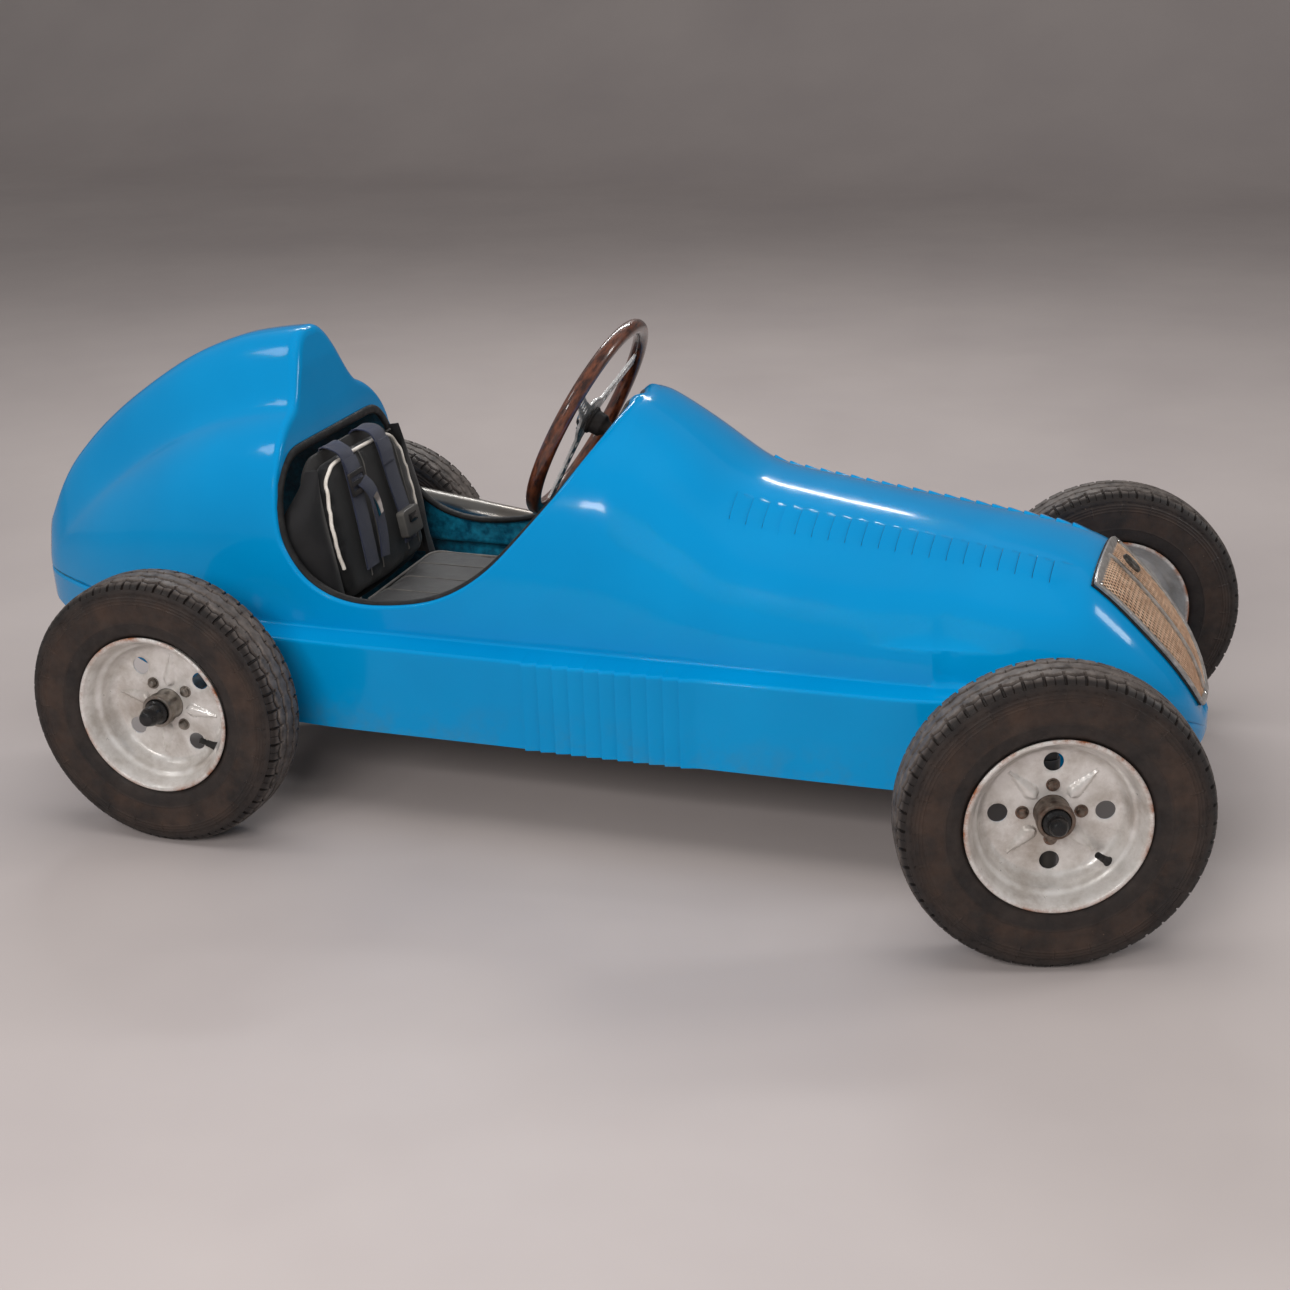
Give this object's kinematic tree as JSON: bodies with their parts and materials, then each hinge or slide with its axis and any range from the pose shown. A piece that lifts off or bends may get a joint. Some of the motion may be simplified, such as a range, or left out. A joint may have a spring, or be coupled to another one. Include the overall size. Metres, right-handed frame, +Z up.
{
  "type": "pedal car",
  "caption": "Ride-on pedal racing car: moulded body with open cockpit and tail fairing, steered front wheels, crank and chain to a live rear axle, pneumatic tyres.",
  "frame": {"origin": "bottom centre of the whole car's box: on the floor, midway along its length, on its centreline", "axes": "+X forward, +Y to the car's left, +Z up"},
  "size_m": [1.7847, 0.946, 0.6696],
  "materials": {
    "body_paint": "high-gloss light blue enamel over a moulded shell",
    "black_rubber": "satin black rubber",
    "chrome": "polished, slightly dulled",
    "grille_gauze": "diagonal wire gauze, warm tan tarnish",
    "black_enamel": "gloss black enamel in a bright ring",
    "black_steel": "satin black chassis paint",
    "bare_steel": "machined steel with light rust",
    "rim_wood": "dark varnished hardwood",
    "polished_alloy": "polished sheet alloy",
    "seat_vinyl": "black grained vinyl with pale piping",
    "webbing": "navy woven webbing",
    "buckle_steel": "grey moulded buckle",
    "pipe_steel": "dull grey drawn tube",
    "tyre_rubber": "dusty black tyre rubber",
    "wheel_paint": "satin silver wheel paint, rust at the flange edge",
    "black_plastic": "domed black dust cap"
  },
  "bodies": {
    "chassis": {"body_shell": "body_paint", "cockpit_trim": "black_rubber", "grille_frame": "chrome", "grille_mesh": "grille_gauze", "grille_badge": "black_enamel", "chassis_rail_left": "black_steel", "chassis_rail_right": "black_steel", "cross_member_1": "black_steel", "cross_member_2": "black_steel", "floor_pan": "black_steel", "front_axle": "black_steel", "scuttle_hoop": "black_steel", "column_bush": "black_rubber", "axle_bearing_left": "black_steel", "axle_bearing_right": "black_steel", "crank_bearing_left": "black_steel", "crank_bearing_right": "black_steel", "drive_chain": "bare_steel", "seat_shell": "seat_vinyl", "seat_trestle_front": "black_steel", "seat_trestle_rear": "black_steel", "seat_cushion": "seat_vinyl", "seat_back_pad": "seat_vinyl", "harness_strap_left": "webbing", "harness_strap_right": "webbing", "harness_buckle": "buckle_steel", "exhaust_pipe": "pipe_steel", "exhaust_bracket_1": "black_steel", "exhaust_bracket_2": "black_steel"},
    "steering": {"steering_rim": "rim_wood", "steering_spokes": "polished_alloy", "steering_boss": "chrome", "steering_column": "black_steel", "drop_arm": "bare_steel"},
    "track_link": {"track_rod": "bare_steel"},
    "knuckle_left": {"stub_axle_left": "black_steel"},
    "knuckle_right": {"stub_axle_right": "black_steel"},
    "wheel_front_left": {"tyre_front_left": "tyre_rubber", "rim_front_left": "wheel_paint", "hub_front_left": "bare_steel", "hub_cap_front_left": "black_plastic"},
    "wheel_front_right": {"tyre_front_right": "tyre_rubber", "rim_front_right": "wheel_paint", "hub_front_right": "bare_steel", "hub_cap_front_right": "black_plastic"},
    "rear_wheels": {"rear_axle": "bare_steel", "rear_sprocket": "bare_steel", "tyre_rear_left": "tyre_rubber", "rim_rear_left": "wheel_paint", "hub_rear_left": "bare_steel", "hub_cap_rear_left": "black_plastic", "tyre_rear_right": "tyre_rubber", "rim_rear_right": "wheel_paint", "hub_rear_right": "bare_steel", "hub_cap_rear_right": "black_plastic"},
    "cranks": {"crankshaft": "bare_steel", "chainring": "bare_steel"},
    "pedal_block_left": {"pedal_left": "black_rubber"},
    "pedal_block_right": {"pedal_right": "black_rubber"}
  },
  "joints": [
    {"name": "steering_turn", "type": "hinge", "parent": "chassis", "child": "steering", "pos_m": [-0.0014, 0, 0.533], "axis": [0.8918, 0, -0.4524], "range_deg": [-3, 41]},
    {"name": "kingpin_left", "type": "hinge", "parent": "chassis", "child": "knuckle_left", "pos_m": [0.6941, 0.3405, 0.189], "axis": [0, 0, 1], "range_deg": [-41, 3]},
    {"name": "kingpin_right", "type": "hinge", "parent": "chassis", "child": "knuckle_right", "pos_m": [0.6941, -0.3405, 0.189], "axis": [0, 0, 1], "range_deg": [-41, 3]},
    {"name": "track_rod_slide", "type": "slide", "parent": "chassis", "child": "track_link", "axis": [0, 1, 0], "range_m": [-0.0054, 0.0702]},
    {"name": "front_left_spin", "type": "hinge", "parent": "knuckle_left", "child": "wheel_front_left", "pos_m": [0.68108, 0.37832, 0.189], "axis": [-0.3256, 0.9455, 0], "continuous": true},
    {"name": "front_right_spin", "type": "hinge", "parent": "knuckle_right", "child": "wheel_front_right", "pos_m": [0.70712, -0.37832, 0.189], "axis": [-0.3256, 0.9455, 0], "continuous": true},
    {"name": "rear_axle_spin", "type": "hinge", "parent": "chassis", "child": "rear_wheels", "pos_m": [-0.4969, 0, 0.189], "axis": [0, 1, 0], "continuous": true},
    {"name": "crank_spin", "type": "hinge", "parent": "chassis", "child": "cranks", "pos_m": [0.4286, 0, 0.262], "axis": [0, 1, 0], "continuous": true},
    {"name": "pedal_left_pivot", "type": "hinge", "parent": "cranks", "child": "pedal_block_left", "pos_m": [0.38558, 0.072, 0.20056], "axis": [0, 1, 0], "continuous": true},
    {"name": "pedal_right_pivot", "type": "hinge", "parent": "cranks", "child": "pedal_block_right", "pos_m": [0.47162, -0.072, 0.32344], "axis": [0, 1, 0], "continuous": true}
  ],
  "couplings": [
    {"joint": "kingpin_left", "follows": "steering_turn", "ratio": -1},
    {"joint": "kingpin_right", "follows": "steering_turn", "ratio": -1},
    {"joint": "track_rod_slide", "follows": "steering_turn", "m_per_rad": 0.097},
    {"joint": "crank_spin", "follows": "rear_axle_spin", "ratio": 0.6667}
  ]
}
